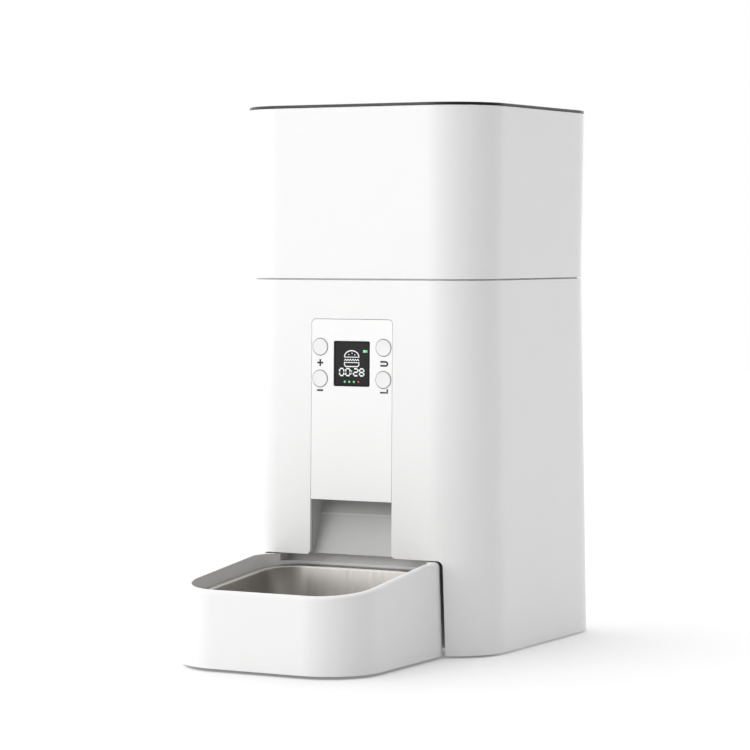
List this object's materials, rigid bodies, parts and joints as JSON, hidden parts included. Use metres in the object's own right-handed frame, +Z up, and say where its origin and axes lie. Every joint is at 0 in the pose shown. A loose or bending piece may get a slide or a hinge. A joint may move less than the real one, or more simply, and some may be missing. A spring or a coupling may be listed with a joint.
{
  "type": "automatic pet feeder",
  "caption": "Upright rounded pet feeder: base with dark display, buttons, outlet and steel-bowl tray in front, lift-off hopper with a metering impeller above, and a flush dark lid.",
  "frame": {"origin": "middle of the whole footprint, housing and food tray together, on the surface it stands on", "axes": "+Z up, -Y to the front where the food tray is, +X to the feeder's left-hand side as seen from behind"},
  "size_m": [0.1882, 0.3126, 0.355],
  "materials": {
    "housing_white": "satin white ABS",
    "panel_white": "smooth white ABS",
    "button_white": "white, slightly domed",
    "window_black": "dark smoked window",
    "lid_dark": "dark smoked edge",
    "tray_white": "smooth white",
    "bowl_steel": "drawn stainless steel",
    "chute_white": "satin",
    "inner_grey": "satin",
    "cover_white": "fine texture",
    "impeller_plastic": "satin",
    "gear_nylon": "natural nylon",
    "steel": "plated",
    "motor_metal": "zinc plated",
    "board_green": "solder resist",
    "part_black": "moulded",
    "cell_skin": "plain wrap",
    "silicone": "soft, matt",
    "foot_rubber": "matt",
    "desiccant_cloth": "non-woven"
  },
  "bodies": {
    "base": {"base_shell": "housing_white", "front_panel": "panel_white", "lcd_window": "window_black", "chute": "chute_white", "tray_bay": "chute_white", "inner_tub": "inner_grey", "gearbox_housing": "inner_grey", "gearbox_cover": "inner_grey", "bottom_cover": "cover_white", "idler_axle": "steel", "board_screws": "steel", "tub_screws": "steel", "bottom_screws": "steel", "gearbox_screws": "steel", "battery_contacts": "steel", "motor_can": "motor_metal", "control_board": "board_green", "main_board": "board_green", "tact_switches": "part_black", "portion_switch": "part_black", "dc_inlet": "part_black", "lcd_module": "part_black", "batteries": "cell_skin", "rubber_feet": "foot_rubber"},
    "hopper": {"hopper_shell": "housing_white", "hopper_funnel": "inner_grey", "metering_chamber": "inner_grey", "baffle_plate": "inner_grey", "silicone_wiper": "silicone"},
    "lid": {"lid_cover": "lid_dark", "lid_seal": "silicone", "desiccant_holder": "inner_grey", "desiccant_grille": "inner_grey", "desiccant_bag": "desiccant_cloth"},
    "impeller": {"impeller": "impeller_plastic", "agitator": "impeller_plastic", "agitator_screw": "steel"},
    "output_drive": {"output_gear": "gear_nylon", "output_shaft": "steel", "drive_coupling": "gear_nylon"},
    "idler": {"idler_gear": "gear_nylon"},
    "motor_rotor": {"motor_pinion": "steel"},
    "tray": {"food_tray": "tray_white"},
    "bowl": {"bowl": "bowl_steel"},
    "battery_door": {"battery_door": "cover_white"},
    "button_plus": {"button_plus": "button_white"},
    "button_minus": {"button_minus": "button_white"},
    "button_back": {"button_back": "button_white"},
    "button_enter": {"button_enter": "button_white"}
  },
  "joints": [
    {"name": "hopper_lift", "type": "slide", "parent": "base", "child": "hopper", "axis": [0, 0, 1], "range_m": [0, 0.11]},
    {"name": "lid_lift", "type": "slide", "parent": "hopper", "child": "lid", "axis": [0, 0, 1], "range_m": [0, 0.06]},
    {"name": "impeller_spin", "type": "hinge", "parent": "hopper", "child": "impeller", "pos_m": [0, 0.0597, 0.19], "axis": [0, 0, 1], "continuous": true},
    {"name": "output_spin", "type": "hinge", "parent": "base", "child": "output_drive", "pos_m": [0, 0.0597, 0.157], "axis": [0, 0, 1], "continuous": true},
    {"name": "idler_spin", "type": "hinge", "parent": "base", "child": "idler", "pos_m": [0, 0.0858, 0.15], "axis": [0, 0, 1], "continuous": true},
    {"name": "motor_spin", "type": "hinge", "parent": "base", "child": "motor_rotor", "pos_m": [0, 0.1099, 0.15], "axis": [0, 0, 1], "continuous": true},
    {"name": "tray_slide", "type": "slide", "parent": "base", "child": "tray", "axis": [0, -1, 0], "range_m": [0, 0.06]},
    {"name": "bowl_lift", "type": "slide", "parent": "tray", "child": "bowl", "axis": [0, 0, 1], "range_m": [0, 0.005]},
    {"name": "battery_door_drop", "type": "slide", "parent": "base", "child": "battery_door", "axis": [0, 0, -1], "range_m": [0, 0.03]},
    {"name": "button_plus_press", "type": "slide", "parent": "base", "child": "button_plus", "axis": [0, 1, 0], "range_m": [0, 0.0006], "stiffness_N_per_m": 2500},
    {"name": "button_minus_press", "type": "slide", "parent": "base", "child": "button_minus", "axis": [0, 1, 0], "range_m": [0, 0.0006], "stiffness_N_per_m": 2500},
    {"name": "button_back_press", "type": "slide", "parent": "base", "child": "button_back", "axis": [0, 1, 0], "range_m": [0, 0.0006], "stiffness_N_per_m": 2500},
    {"name": "button_enter_press", "type": "slide", "parent": "base", "child": "button_enter", "axis": [0, 1, 0], "range_m": [0, 0.0006], "stiffness_N_per_m": 2500}
  ],
  "couplings": [
    {"joint": "output_spin", "follows": "impeller_spin", "ratio": 1},
    {"joint": "idler_spin", "follows": "impeller_spin", "ratio": -3.3333},
    {"joint": "motor_spin", "follows": "impeller_spin", "ratio": 10}
  ]
}
